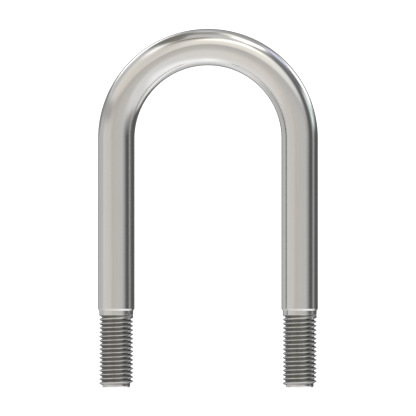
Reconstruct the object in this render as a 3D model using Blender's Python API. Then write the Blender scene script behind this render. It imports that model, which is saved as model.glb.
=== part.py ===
"""U-bolt: one round steel bar bent to a half circle, with a right-hand M16 thread on the end of each leg.

Metres, +Z up. The bolt stands on its two leg ends with the bow at the top, and its legs are at -X and +X.
The origin is midway between the two end faces. Both legs carry the same thread, so one leg is the other
one moved along X, and the bow joins their tops.
"""

from math import ceil, cos, pi, radians, sin, tan

import bmesh
import bpy

# The bar and its bend
BAR_RADIUS = 0.0086
LEG_SPACING = 0.0862  # between the two legs' centre lines
STRAIGHT_HEIGHT = 0.1167  # from the end faces up to the centre of the bow

# The turned end of a leg, as heights above its end face
END_RADIUS = 0.0062
POINT_HEIGHT = 0.0005  # the end chamfer meets the thread's core here
NECK_HEIGHT = 0.036  # top of the plain neck above the thread
SHOULDER_HEIGHT = 0.0368  # the plain bar begins here, above the shoulder's chamfer

# The thread, a sharp 60 degree V with a flat crest
THREAD_RADIUS = 0.008
PITCH = 0.002
CREST_WIDTH = PITCH / 8
THREAD_DEPTH = (PITCH - CREST_WIDTH) / 2 / tan(radians(30))
CORE_RADIUS = THREAD_RADIUS - THREAD_DEPTH
THREAD_TOP = 0.035
THREAD_START = 0.095  # share of a turn past +X where a groove's root is level with the end face
CREST_RISE = (0.0006, 0.0016)  # the first crest climbs out of the core as its middle passes these heights
GROOVE_RUN_OUT = (0.0328, 0.0343)  # the last groove fades into the neck as its root passes these heights

# Facets
SEGMENTS = 32  # around the bar
BOW_STEPS = 36

STEEL_COLOUR = (0.72, 0.71, 0.69, 1)
STEEL_ROUGHNESS = 0.15
SHARP_ANGLE = radians(25)
MERGE_DISTANCE = 1e-6


def share(z, heights):
    """How far z has come from the first height to the second, from 0 to 1."""
    low, high = heights
    return min(max((z - low) / (high - low), 0), 1)


def thread_outline(turn):
    """(radius, height) points up the thread, at this share of a turn from +X towards +Y.

    Each pitch has the root of its groove and the two edges of the crest above it. Every point climbs one
    pitch in a full turn. The last groove keeps its 60 degrees as it runs out, so it narrows as well. Points
    past an end of the thread stop at that end, where they fall together.
    """
    points = []
    for pitch in range(-1, ceil(THREAD_TOP / PITCH)):
        root = (pitch + turn - THREAD_START) * PITCH
        depth = 1 - share(root, GROOVE_RUN_OUT)
        next_depth = 1 - share(root + PITCH, GROOVE_RUN_OUT)
        crest_radius = CORE_RADIUS + THREAD_DEPTH * share(root + PITCH / 2, CREST_RISE)
        half_groove = (PITCH - CREST_WIDTH) / 2
        points.append((THREAD_RADIUS - THREAD_DEPTH * depth, root))
        points.append((crest_radius, root + half_groove * depth))
        points.append((crest_radius, root + PITCH - half_groove * next_depth))
    return [(radius, min(max(z, POINT_HEIGHT), THREAD_TOP)) for radius, z in points]


def leg_outline(turn):
    plain_end = [(THREAD_RADIUS, NECK_HEIGHT), (BAR_RADIUS, SHOULDER_HEIGHT), (BAR_RADIUS, STRAIGHT_HEIGHT)]
    return [(END_RADIUS, 0), *thread_outline(turn), *plain_end]


def add_leg(bm, x):
    """Lays the leg's outlines side by side round its axis at x, and fills the strips between them."""
    columns = []
    for segment in range(SEGMENTS + 1):
        turn = segment / SEGMENTS
        side = (cos(2 * pi * turn), sin(2 * pi * turn))
        columns.append([bm.verts.new((x + r * side[0], r * side[1], z)) for r, z in leg_outline(turn)])
    for here, there in zip(columns, columns[1:]):
        for low, high in zip(range(len(here)), range(1, len(here))):
            bm.faces.new((here[low], there[low], there[high], here[high]))


def add_bow(bm):
    """Spins the ring at the top of the leg at -X over to the top of the leg at +X."""
    ring = [
        edge
        for edge in bm.edges
        if all(v.co.x < 0 and abs(v.co.z - STRAIGHT_HEIGHT) < MERGE_DISTANCE for v in edge.verts)
    ]
    centre = (0, 0, STRAIGHT_HEIGHT)
    bmesh.ops.spin(bm, geom=ring, cent=centre, axis=(0, 1, 0), angle=pi, steps=BOW_STEPS)


def close(bm):
    """Joins the strips, the legs and the bow where they meet, and fills the two end faces."""
    bmesh.ops.remove_doubles(bm, verts=bm.verts[:], dist=MERGE_DISTANCE)
    bmesh.ops.holes_fill(bm, edges=[edge for edge in bm.edges if edge.is_boundary])
    bmesh.ops.recalc_face_normals(bm, faces=bm.faces[:])


def steel():
    material = bpy.data.materials.new("bright_steel")
    material.use_nodes = True
    shader = material.node_tree.nodes["Principled BSDF"]
    shader.inputs["Base Color"].default_value = STEEL_COLOUR
    shader.inputs["Metallic"].default_value = 1
    shader.inputs["Roughness"].default_value = STEEL_ROUGHNESS
    return material


def add_u_bolt():
    bm = bmesh.new()
    add_leg(bm, -LEG_SPACING / 2)
    add_leg(bm, LEG_SPACING / 2)
    add_bow(bm)
    close(bm)
    mesh = bpy.data.meshes.new("u_bolt")
    bm.to_mesh(mesh)
    bm.free()
    mesh.shade_smooth()
    mesh.set_sharp_from_angle(angle=SHARP_ANGLE)
    mesh.materials.append(steel())
    bpy.context.collection.objects.link(bpy.data.objects.new("u_bolt", mesh))


for old in list(bpy.data.objects):
    bpy.data.objects.remove(old)
add_u_bolt()
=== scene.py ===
"""The finished look of the U-bolt: a fine mesh of the bent and threaded bar, its steel, and a plain studio.

Metres, +Z up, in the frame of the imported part. The legs stand at -X and +X, and the camera looks along +Y.
"""

from math import ceil, cos, pi, radians, sin, tan

import bmesh
import bpy
import numpy as np
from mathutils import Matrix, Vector


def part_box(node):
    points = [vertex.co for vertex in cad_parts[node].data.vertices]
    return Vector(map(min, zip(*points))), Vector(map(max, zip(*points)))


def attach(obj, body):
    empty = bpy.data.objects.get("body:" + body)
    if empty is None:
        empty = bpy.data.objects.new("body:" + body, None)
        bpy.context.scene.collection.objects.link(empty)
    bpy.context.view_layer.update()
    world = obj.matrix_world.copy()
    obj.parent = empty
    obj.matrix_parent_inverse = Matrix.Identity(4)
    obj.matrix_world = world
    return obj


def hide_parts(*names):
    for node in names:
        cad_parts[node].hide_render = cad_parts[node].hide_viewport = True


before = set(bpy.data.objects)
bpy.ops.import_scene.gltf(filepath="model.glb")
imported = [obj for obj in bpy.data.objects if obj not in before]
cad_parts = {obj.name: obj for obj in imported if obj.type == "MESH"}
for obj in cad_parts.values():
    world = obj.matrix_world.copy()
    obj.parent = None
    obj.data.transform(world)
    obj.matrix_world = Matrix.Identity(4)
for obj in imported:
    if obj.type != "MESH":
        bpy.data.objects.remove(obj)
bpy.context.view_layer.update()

# Sizes read from the frame
LOW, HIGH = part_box("u_bolt")
BAR_RADIUS = (HIGH.y - LOW.y) / 2
BEND_RADIUS = (HIGH.x - LOW.x) / 2 - BAR_RADIUS  # to the bar's centre line, and half the legs' spacing
STRAIGHT_HEIGHT = HIGH.z - BEND_RADIUS - BAR_RADIUS  # from the end faces up to the centre of the bow

# The turned end of a leg, as in the CAD: heights above its end face
END_RADIUS = 0.0062
POINT_HEIGHT = 0.0005
NECK_HEIGHT = 0.036
SHOULDER_HEIGHT = 0.0368
THREAD_RADIUS = 0.008
PITCH = 0.002
CREST_WIDTH = PITCH / 8
THREAD_DEPTH = (PITCH - CREST_WIDTH) / 2 / tan(radians(30))
CORE_RADIUS = THREAD_RADIUS - THREAD_DEPTH
THREAD_TOP = 0.035
THREAD_START = 0.095
CREST_RISE = (0.0006, 0.0016)
GROOVE_RUN_OUT = (0.0328, 0.0343)
SHOULDER_TOP = 2 * SHOULDER_HEIGHT - NECK_HEIGHT  # where the leg's long plain faces begin

# Fineness of the visible mesh
SEGMENTS = 96  # around the bar
BOW_STEPS = 120
EDGE_ROUND = 0.00009  # radius left on turned edges
EDGE_STEPS = 3
MERGE_DISTANCE = 1e-7
SHARP_ANGLE = radians(50)


def share(value, low, high):
    """How far value has come from low to high, from 0 to 1, easing in and out."""
    t = np.clip((value - low) / (high - low), 0, 1)
    return t * t * (3 - 2 * t)


# One flank of the thread as (share of the half groove, share of the depth): a small radius in the root, the
# straight 60 degree flank, and a crest whose edge is eased
FLANK = (
    (0.0, 0.05), (0.05, 0.09), (0.11, 0.16),
    (0.2, 0.21), (0.5, 0.5), (0.9, 0.9),
    (0.975, 0.972), (1.02, 0.997), (1.05, 1.0),
)


def thread_outline(turn):
    """(radius, height) points up the thread, as in the CAD but with FLANK on each side of a root."""
    points = []
    half_groove = (PITCH - CREST_WIDTH) / 2
    for pitch in range(-1, ceil(THREAD_TOP / PITCH)):
        root = (pitch + turn - THREAD_START) * PITCH
        crest = share(root + PITCH / 2, *CREST_RISE)
        for start, rising in ((root, True), (root + PITCH, False)):
            open_share = 1 - share(start, *GROOVE_RUN_OUT)
            for along, up in FLANK if rising else FLANK[::-1]:
                z = start + (1 if rising else -1) * along * half_groove * open_share
                depth = THREAD_DEPTH * (1 - up) * open_share
                points.append((CORE_RADIUS + (THREAD_DEPTH - depth) * crest, z))
    low = 2 * POINT_HEIGHT
    return [(radius, min(max(z, low), THREAD_TOP)) for radius, z in points]


def rounded(points, radius):
    """The outline with a small arc at each inner corner, and points beside it that hold the faces flat."""
    result = [points[0]]
    for before, corner, after in zip(points, points[1:], points[2:]):
        before, corner, after = Vector(before), Vector(corner), Vector(after)
        back, ahead = before - corner, after - corner
        start = corner + back.normalized() * min(radius, back.length / 4)
        end = corner + ahead.normalized() * min(radius, ahead.length / 4)
        result.append(tuple(start * 1.5 - corner * 0.5))
        for step in range(EDGE_STEPS + 1):
            t = step / EDGE_STEPS
            result.append(tuple(start * (1 - t) ** 2 + corner * 2 * t * (1 - t) + end * t ** 2))
        result.append(tuple(end * 1.5 - corner * 0.5))
    return result + [points[-1]]


def leg_outline(turn):
    """(radius, height) points up a leg, at this share of a turn from +X towards +Y."""
    end = [(0, 0), (END_RADIUS, 0), (CORE_RADIUS, POINT_HEIGHT), (CORE_RADIUS, 2 * POINT_HEIGHT)]
    end = rounded(end, EDGE_ROUND)
    neck = [(THREAD_RADIUS, THREAD_TOP), (THREAD_RADIUS, NECK_HEIGHT), (BAR_RADIUS, SHOULDER_HEIGHT)]
    neck = rounded(neck + [(BAR_RADIUS, SHOULDER_TOP)], EDGE_ROUND)
    return end[1:-1] + thread_outline(turn) + neck[1:]


def add_leg(bm, x):
    """Lays the leg's outlines side by side round its axis at x, and fills the strips between them."""
    columns = []
    for segment in range(SEGMENTS + 1):
        turn = segment / SEGMENTS
        side = (cos(2 * pi * turn), sin(2 * pi * turn))
        columns.append([bm.verts.new((x + r * side[0], r * side[1], z)) for r, z in leg_outline(turn)])
    for here, there in zip(columns, columns[1:]):
        for low, high in zip(range(len(here)), range(1, len(here))):
            bm.faces.new((here[low], there[low], there[high], here[high]))


def ring_at(bm, z, side):
    """The ring of edges round one leg at height z. side is -1 or 1, for the leg at -X or +X."""
    close = [v for v in bm.verts if abs(v.co.z - z) < MERGE_DISTANCE and v.co.x * side > 0]
    found = set(close)
    return [e for e in {e for v in close for e in v.link_edges} if set(e.verts) <= found]


def add_plain_stretches(bm):
    """Draws the top ring of each leg up to where the bow begins."""
    for side in (-1, 1):
        grown = bmesh.ops.extrude_edge_only(bm, edges=ring_at(bm, SHOULDER_TOP, side))["geom"]
        raised = [v for v in grown if isinstance(v, bmesh.types.BMVert)]
        bmesh.ops.translate(bm, verts=raised, vec=(0, 0, STRAIGHT_HEIGHT - SHOULDER_TOP))


def add_bow(bm):
    """Spins the top ring of the leg at -X over to the leg at +X."""
    top = ring_at(bm, STRAIGHT_HEIGHT, -1)
    centre = (0, 0, STRAIGHT_HEIGHT)
    bmesh.ops.spin(bm, geom=top, cent=centre, axis=(0, 1, 0), angle=pi, steps=BOW_STEPS)


def build_bar():
    bm = bmesh.new()
    for x in (-BEND_RADIUS, BEND_RADIUS):
        add_leg(bm, x)
    bmesh.ops.remove_doubles(bm, verts=bm.verts[:], dist=MERGE_DISTANCE)
    add_plain_stretches(bm)
    add_bow(bm)
    bmesh.ops.remove_doubles(bm, verts=bm.verts[:], dist=10 * MERGE_DISTANCE)
    bmesh.ops.holes_fill(bm, edges=[e for e in bm.edges if e.is_boundary])
    bmesh.ops.recalc_face_normals(bm, faces=bm.faces[:])
    mesh = bpy.data.meshes.new("bent_bar")
    bm.to_mesh(mesh)
    bm.free()
    mesh.shade_smooth()
    mesh.set_sharp_from_angle(angle=SHARP_ANGLE)
    add_straight_coordinates(mesh)
    bar = bpy.data.objects.new("bent_bar", mesh)
    bpy.context.scene.collection.objects.link(bar)
    return bar


def add_straight_coordinates(mesh):
    """Keeps where each point was on the bar before bending, as (towards the inside, Y, length along)."""
    co = np.empty(len(mesh.vertices) * 3)
    mesh.vertices.foreach_get("co", co)
    x, y, z = co.reshape(-1, 3).T
    up = z - STRAIGHT_HEIGHT
    inward = BEND_RADIUS - np.where(up > 0, np.hypot(x, up), np.abs(x))
    bow = BEND_RADIUS * np.arctan2(np.maximum(up, 0), -x)
    on_right = (up <= 0) & (x > 0)
    on_left_or_bow = np.where(up > 0, STRAIGHT_HEIGHT + bow, z)
    along = np.where(on_right, STRAIGHT_HEIGHT + pi * BEND_RADIUS - up, on_left_or_bow)
    straight = mesh.attributes.new("straight", "FLOAT_VECTOR", "POINT")
    straight.data.foreach_set("vector", np.stack((inward, y, along), 1).ravel())


# ---- Materials ----


class Nodes:
    """Short names for building a node tree."""

    def __init__(self, tree):
        self.tree = tree

    def add(self, kind, **settings):
        node = self.tree.nodes.new("ShaderNode" + kind)
        for name, value in settings.items():
            setattr(node, name, value)
        return node

    def feed(self, socket, value):
        if isinstance(value, bpy.types.NodeSocket):
            self.tree.links.new(value, socket)
        else:
            socket.default_value = value

    def math(self, operation, *values):
        node = self.add("Math", operation=operation)
        for socket, value in zip(node.inputs, values):
            self.feed(socket, value)
        return node.outputs[0]

    def vector(self, operation, *values):
        node = self.add("VectorMath", operation=operation)
        for socket, value in zip(node.inputs, values):
            self.feed(socket, value)
        return node.outputs["Value" if operation == "LENGTH" else "Vector"]

    def gather(self, value):
        """The same value on all three channels."""
        node = self.add("CombineXYZ")
        for socket in node.inputs:
            self.feed(socket, value)
        return node.outputs[0]

    def ramp(self, value, low, high, to_low=0.0, to_high=1.0, ease="SMOOTHSTEP"):
        node = self.add("MapRange", interpolation_type=ease)
        names = ("Value", "From Min", "From Max", "To Min", "To Max")
        for name, given in zip(names, (value, low, high, to_low, to_high)):
            self.feed(node.inputs[name], given)
        return node.outputs["Result"]

    def noise(self, vector, detail, roughness=0.5):
        node = self.add("TexNoise")
        for name, given in (("Vector", vector), ("Scale", 1), ("Detail", detail), ("Roughness", roughness)):
            self.feed(node.inputs[name], given)
        return node.outputs["Fac"]

    def mix(self, factor, a, b):
        node = self.add("Mix", data_type="RGBA")
        for name, given in (("Factor_Float", factor), ("A_Color", a), ("B_Color", b)):
            self.feed(next(s for s in node.inputs if s.identifier == name), given)
        return next(s for s in node.outputs if s.identifier == "Result_Color")


BAR_TONES = (0.700, 0.695, 0.684, 1), (0.745, 0.740, 0.729, 1)  # in the duller and the brighter streaks
# Painted shade laid into the thread's grooves
PAINTED_GROOVE_SHADE = (0.40, 0.396, 0.387, 1)
# Wear with a painted highlight, laid on the thread's crests and the shoulder's edge
WORN_AND_HIGHLIGHT_COLOUR = (0.80, 0.795, 0.785, 1)
BAR_ROUGHNESS = (0.11, 0.17)
TURNED_ROUGHNESS = 0.04  # added on the turned ends
WORN_ROUGHNESS = 0.03  # taken off where the steel shows wear

LINE_SCALE = (3200, 3200, 12)  # fine lines along the bar
RING_SCALE = (5200, 0, 5200)  # fine rings round the turned ends
STREAK_SCALE = (420, 420, 5)
CLOUD_SCALE = (70, 70, 45)
GRAIN_DEPTH = 0.00001
GRAIN_STRENGTH = 0.15

THREAD_FADE_IN = (0.0008, 0.0014)  # heights over which the grooves' painted shade begins
GROOVE_DEPTHS = (0.00004, 0.0004)  # below the crest: where the painted shade in a groove begins and is darkest
CREST_BAND = 0.00006  # depth below the crest at which its wear and painted highlight end
CREST_WEAR_AND_HIGHLIGHT = 0.5  # the crests' wear and painted highlight, beside the shoulder's edge
EDGE_BAND = (0.00025, 0.00005)  # from the shoulder's edge: where its wear and painted highlight end and are full
TURNED_BLEND = 0.0002


class Marks:
    """Where each mark on the steel lies, from 0 to 1: turned, the grooves' painted shade, and wear with a
    painted highlight on the crests and the shoulder's edge.
    """

    def __init__(self, nodes, height, across):
        self.turned = nodes.ramp(height, SHOULDER_HEIGHT + TURNED_BLEND, SHOULDER_HEIGHT - TURNED_BLEND)
        begun = nodes.ramp(height, *THREAD_FADE_IN)
        not_ended = nodes.ramp(height, THREAD_TOP, GROOVE_RUN_OUT[0])
        threaded = nodes.math("MULTIPLY", begun, not_ended)
        below_crest = nodes.math("SUBTRACT", THREAD_RADIUS, across)
        # Painted shade deep in the thread's grooves
        self.groove_shade = nodes.math("MULTIPLY", threaded, nodes.ramp(below_crest, *GROOVE_DEPTHS))
        # Wear and painted highlight along the thread's crests
        crest = nodes.math("MULTIPLY", threaded, nodes.ramp(below_crest, CREST_BAND, 0, 0, CREST_WEAR_AND_HIGHLIGHT))
        from_edge = nodes.math("ABSOLUTE", nodes.math("SUBTRACT", height, SHOULDER_HEIGHT))
        # Wear and painted highlight on the crests and along the shoulder's edge
        self.wear_and_highlight = nodes.math("MAXIMUM", crest, nodes.ramp(from_edge, *EDGE_BAND))


def steel_grain(nodes, straight, height, across, marks):
    """Fine lines along the drawn bar, and rings where it is turned."""
    lines = nodes.noise(nodes.vector("MULTIPLY", straight, LINE_SCALE), detail=3, roughness=0.6)
    section = nodes.add("CombineXYZ")
    nodes.feed(section.inputs[0], across)
    nodes.feed(section.inputs[2], height)
    rings = nodes.noise(nodes.vector("MULTIPLY", section.outputs[0], RING_SCALE), detail=2)
    rings_less_lines = nodes.math("SUBTRACT", rings, lines)
    return nodes.math("ADD", lines, nodes.math("MULTIPLY", marks.turned, rings_less_lines))


def steel_colour(nodes, straight, clouds, marks):
    streaks = nodes.noise(nodes.vector("MULTIPLY", straight, STREAK_SCALE), detail=2)
    tone = nodes.math("ADD", nodes.math("MULTIPLY", streaks, 0.6), nodes.math("MULTIPLY", clouds, 0.4))
    colour = nodes.mix(nodes.ramp(tone, 0.3, 0.7), *BAR_TONES)
    # Painted shade darkens the thread's grooves
    colour = nodes.mix(marks.groove_shade, colour, PAINTED_GROOVE_SHADE)
    # Wear with a painted highlight lightens the crests and the shoulder's edge
    return nodes.mix(nodes.math("MULTIPLY", marks.wear_and_highlight, 0.6), colour, WORN_AND_HIGHLIGHT_COLOUR)


def steel_roughness(nodes, grain, clouds, marks):
    mottle = nodes.math("ADD", nodes.math("MULTIPLY", grain, 0.5), nodes.math("MULTIPLY", clouds, 0.5))
    rough = nodes.ramp(mottle, 0.3, 0.7, *BAR_ROUGHNESS)
    rough = nodes.math("ADD", rough, nodes.math("MULTIPLY", marks.turned, TURNED_ROUGHNESS))
    return nodes.math("SUBTRACT", rough, nodes.math("MULTIPLY", marks.wear_and_highlight, WORN_ROUGHNESS))


def steel():
    """Bright drawn steel, with painted shade darkening the thread's grooves, and wear with a painted
    highlight lightening the thread's crests and the shoulder's edge.
    """
    material = bpy.data.materials.new("bright_steel")
    material.use_nodes = True
    shader = material.node_tree.nodes["Principled BSDF"]
    shader.inputs["Metallic"].default_value = 1
    nodes = Nodes(material.node_tree)
    straight = nodes.add("Attribute", attribute_name="straight").outputs["Vector"]
    place = nodes.add("TexCoord").outputs["Object"]
    axes = nodes.add("SeparateXYZ")
    nodes.feed(axes.inputs[0], place)
    height = axes.outputs["Z"]
    across = nodes.vector("LENGTH", nodes.vector("MULTIPLY", straight, (1, 1, 0)))

    marks = Marks(nodes, height, across)
    grain = steel_grain(nodes, straight, height, across, marks)
    clouds = nodes.noise(nodes.vector("MULTIPLY", place, CLOUD_SCALE), detail=4, roughness=0.6)
    nodes.feed(shader.inputs["Base Color"], steel_colour(nodes, straight, clouds, marks))
    nodes.feed(shader.inputs["Roughness"], steel_roughness(nodes, grain, clouds, marks))

    bump = nodes.add("Bump")
    bump.inputs["Strength"].default_value = GRAIN_STRENGTH
    bump.inputs["Distance"].default_value = GRAIN_DEPTH
    nodes.feed(bump.inputs["Height"], grain)
    nodes.feed(shader.inputs["Normal"], bump.outputs["Normal"])
    return material


# ---- Studio ----

# Directions as seen from the part, in degrees: azimuth 0 is towards the camera and 90 towards +X.
# Heights of a panel are taken straight in front of it, so its level edges arch down to its sides. A panel
# covers the ones before it in the list.
PLAIN = (1, 1, 1)
CREAM = (1.015, 1, 0.95)
WARM = (1.03, 1, 0.88)
COOL = (0.96, 0.99, 1.05)
VIOLET = (0.90, 0.92, 1.24)
MINT = (0.78, 1.01, 0.98)
PANELS = (
    # name, azimuth, half width, low, high, fade across, fade up, light at low, light at high, tint
    ("left_wall", -112, 26, -42, 3, 26, 22, 0.76, 0.76, PLAIN),
    ("left_low_glow", -62, 30, -16, 9, 20, 9, 1.00, 1.00, PLAIN),
    ("left_reveal", -94, 52, 62, 78.5, 22, 5, 0.31, 0.31, WARM),
    ("left_rear_reveal", -141, 24, 43, 84, 20, 6, 0.26, 0.26, WARM),
    ("left_back_window", -112, 24, 24, 52, 16, 6, 0.86, 0.90, PLAIN),
    ("left_window", -64, 27, 23, 65, 16, 6, 1.10, 1.16, CREAM),
    ("left_shelf", -94, 38, 12, 22, 24, 6, 0.62, 0.62, PLAIN),
    ("left_lamp", -72, 18, 52, 63, 26, 9, 1.85, 1.85, PLAIN),
    ("front_glow", 20, 30, 21, 52, 26, 6, 1.28, 1.55, CREAM),
    ("front_low_glow", 40, 30, -40, -12, 24, 9, 1.16, 1.14, PLAIN),
    ("front_lamp", 19, 23, 45, 58, 20, 9, 2.25, 2.25, CREAM),
    ("roof_lamp", 86, 31, 58, 77, 20, 5, 2.4, 2.4, CREAM),
    ("roof_gap", 59, 12, 53, 62, 10, 6, 0.60, 0.60, WARM),
    ("roof_rear_wall", 180, 38, 70, 88, 30, 7, 0.50, 0.50, WARM),
    ("rear_wall", 180, 46, 24, 55, 30, 9, 0.60, 0.74, PLAIN),
    ("rear_low_wall", 165, 34, -60, -22, 24, 10, 0.92, 0.80, PLAIN),
    ("reveal_tail", -19, 23, 56, 66, 22, 5, 0.42, 0.42, WARM),
    ("right_rear_wall", 148, 26, 28, 63, 16, 8, 0.56, 0.62, PLAIN),
    ("roof_rear_lamp", 132, 22, 68, 77, 22, 7, 1.7, 1.7, WARM),
    ("horizon_flag", 64, 18, -12, 9, 26, 12, 0.52, 0.50, PLAIN),
    ("low_shade", 92, 32, -20, 0, 24, 12, 0.46, 0.50, PLAIN),
    ("right_flag", 75, 15, -6, 56, 18, 14, 0.12, 0.28, PLAIN),
    ("right_high_flag", 98, 17, 27, 55, 14, 7, 0.20, 0.42, COOL),
    ("right_low_flag", 127, 24, -20, 7, 20, 9, 0.17, 0.14, PLAIN),
    ("right_rear_low_flag", 148, 18, -29, 9, 16, 8, 0.19, 0.14, PLAIN),
    ("right_rear_lamp", 133, 13, 15, 35, 12, 7, 2.6, 2.2, PLAIN),
    ("right_rear_bar", 126, 15, 40, 50, 12, 7, 1.35, 1.35, VIOLET),
    ("mint_lamp", 107, 9, 7, 22, 8, 7, 1.50, 1.35, MINT),
    ("left_rear_lamp", -152, 17, 22, 40, 12, 5, 2.7, 2.6, PLAIN),
    ("left_rear_flag", -143, 16, 3, 20, 14, 7, 0.45, 0.42, PLAIN),
    ("floor_glow", 80, 46, -82, -40, 26, 12, 1.62, 1.45, PLAIN),
)
SKY = (
    # elevation, light
    (-90, 1.9), (-80, 1.48), (-68, 1.22), (-45, 1.19), (-25, 1.12), (-12, 0.95), (-3, 0.86), (6, 0.84),
    (14, 0.75), (18, 0.92), (23, 1.12), (45, 1.08), (65, 0.95), (80, 0.90), (90, 0.66),
)
STUDIO_LIGHT = 0.775  # strength of everything in the tables above
WARM_SIDE = (-28, 80)  # azimuth of the warmest light and how far round it reaches
WARM_TINT = (1, 0.95, 0.885)
BACK_LIGHT = 0.24  # dim backdrop behind the part
BACK_FADE = (20, 45)  # how far round from straight behind it reaches
WHITE_GROUND = 1.6  # the plain white that shows behind the part

FLOOR_SIZE = 8
FLOOR_COLOUR = (0.9, 0.9, 0.9, 1)
FILL_LIGHT = 2.2
FILL_SPREAD = radians(90)


def degrees_of(nodes, operation, *values):
    """An inverse trigonometric function of the values, in degrees."""
    return nodes.math("DEGREES", nodes.math(operation, *values))


def degrees_aside(nodes, azimuth, centre):
    """How far round the azimuth is from this centre, on either side."""
    return nodes.math("ABSOLUTE", nodes.math("WRAP", nodes.math("SUBTRACT", azimuth, centre), 180, -180))


def sky_light(nodes, elevation):
    """The light of the open studio at each elevation, from SKY."""
    sky = nodes.add("ValToRGB")
    while len(sky.color_ramp.elements) < len(SKY):
        sky.color_ramp.elements.new(0.5)
    for element, (angle, light) in zip(sky.color_ramp.elements, SKY):
        element.position = (angle + 90) / 180
        element.color = (light / 2, light / 2, light / 2, 1)
    nodes.feed(sky.inputs[0], nodes.ramp(elevation, -90, 90, ease="LINEAR"))
    return nodes.vector("MULTIPLY", sky.outputs[0], (2, 2, 2))


def add_panel(nodes, colour, azimuth, level, z, panel):
    """Lays one of PANELS over the colour. level is the direction's share that is level."""
    _, az, wide, low, high, fade_wide, fade_tall, low_light, high_light, tint = panel
    turned = nodes.math("COSINE", nodes.math("SUBTRACT", nodes.math("RADIANS", azimuth), radians(az)))
    height = degrees_of(nodes, "ARCTAN2", z, nodes.math("MULTIPLY", turned, level))
    aside = degrees_aside(nodes, azimuth, az)
    inside = nodes.ramp(aside, wide + fade_wide / 2, wide - fade_wide / 2)
    from_middle = nodes.math("ABSOLUTE", nodes.math("SUBTRACT", height, (low + high) / 2))
    tall = (high - low) / 2
    within = nodes.ramp(from_middle, tall + fade_tall / 2, tall - fade_tall / 2)
    light = nodes.ramp(height, low, high, low_light, high_light, ease="LINEAR")
    shade = nodes.vector("MULTIPLY", tint, nodes.gather(light))
    return nodes.mix(nodes.math("MULTIPLY", inside, within), colour, shade)


def add_backdrop(nodes, colour, y):
    """Dims the studio straight behind the part."""
    from_back = degrees_of(nodes, "ARCCOSINE", y)
    backdrop = nodes.ramp(from_back, BACK_FADE[1], BACK_FADE[0])
    return nodes.mix(backdrop, colour, (BACK_LIGHT, BACK_LIGHT, BACK_LIGHT, 1))


def warm_one_side(nodes, colour, azimuth, level):
    centre, reach = WARM_SIDE
    warmth = nodes.ramp(degrees_aside(nodes, azimuth, centre), reach, 0)
    warmth = nodes.math("MULTIPLY", warmth, level)
    return nodes.vector("MULTIPLY", colour, nodes.mix(warmth, (1, 1, 1, 1), (*WARM_TINT, 1)))


def studio_world():
    world = bpy.data.worlds.new("studio")
    world.use_nodes = True
    nodes = Nodes(world.node_tree)
    direction = nodes.vector("NORMALIZE", nodes.add("TexCoord").outputs["Generated"])
    parts = nodes.add("SeparateXYZ")
    nodes.feed(parts.inputs[0], direction)
    x, y, z = parts.outputs
    azimuth = degrees_of(nodes, "ARCTAN2", x, nodes.math("MULTIPLY", y, -1))
    elevation = degrees_of(nodes, "ARCSINE", z)
    level = nodes.math("SQRT", nodes.math("SUBTRACT", 1, nodes.math("MULTIPLY", z, z)))

    colour = sky_light(nodes, elevation)
    for panel in PANELS:
        colour = add_panel(nodes, colour, azimuth, level, z, panel)
    colour = add_backdrop(nodes, colour, y)
    colour = warm_one_side(nodes, colour, azimuth, level)

    background = world.node_tree.nodes["Background"]
    seen = nodes.add("LightPath").outputs["Is Camera Ray"]
    colour = nodes.mix(seen, colour, (WHITE_GROUND, WHITE_GROUND, WHITE_GROUND, 1))
    nodes.feed(background.inputs["Color"], colour)
    background.inputs["Strength"].default_value = STUDIO_LIGHT
    bpy.context.scene.world = world


def floor_and_fill():
    """A pale floor, which the metal doesn't mirror, and a wide soft light from above that only it shows."""
    bpy.ops.mesh.primitive_plane_add(size=FLOOR_SIZE)
    floor = bpy.context.object
    floor.name = "floor"
    floor.visible_glossy = False
    paint = bpy.data.materials.new("floor_paint")
    paint.use_nodes = True
    shader = paint.node_tree.nodes["Principled BSDF"]
    shader.inputs["Base Color"].default_value = FLOOR_COLOUR
    shader.inputs["Roughness"].default_value = 1
    shader.inputs["Specular IOR Level"].default_value = 0
    floor.data.materials.append(paint)
    fill = bpy.data.lights.new("fill", "SUN")
    fill.energy = FILL_LIGHT
    fill.angle = FILL_SPREAD
    lamp = bpy.data.objects.new("fill", fill)
    lamp.visible_glossy = False
    bpy.context.scene.collection.objects.link(lamp)


# ---- Camera ----

VIEW_WIDTH = 0.1955  # what the picture takes in across the part
LENS = 1200  # long enough that the two ends are seen level
SENSOR = 36
CLIP_END = 50


def camera():
    data = bpy.data.cameras.new("camera")
    data.lens = LENS
    data.sensor_width = SENSOR
    data.clip_end = CLIP_END
    eye = bpy.data.objects.new("camera", data)
    distance = VIEW_WIDTH * LENS / SENSOR
    eye.location = (0, -distance, (LOW.z + HIGH.z) / 2)
    eye.rotation_euler = (pi / 2, 0, 0)
    bpy.context.scene.collection.objects.link(eye)
    bpy.context.scene.camera = eye


bar = build_bar()
bar.data.materials.append(steel())
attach(bar, "root")
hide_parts("u_bolt")
studio_world()
floor_and_fill()
camera()
bpy.context.scene.view_settings.view_transform = "Standard"
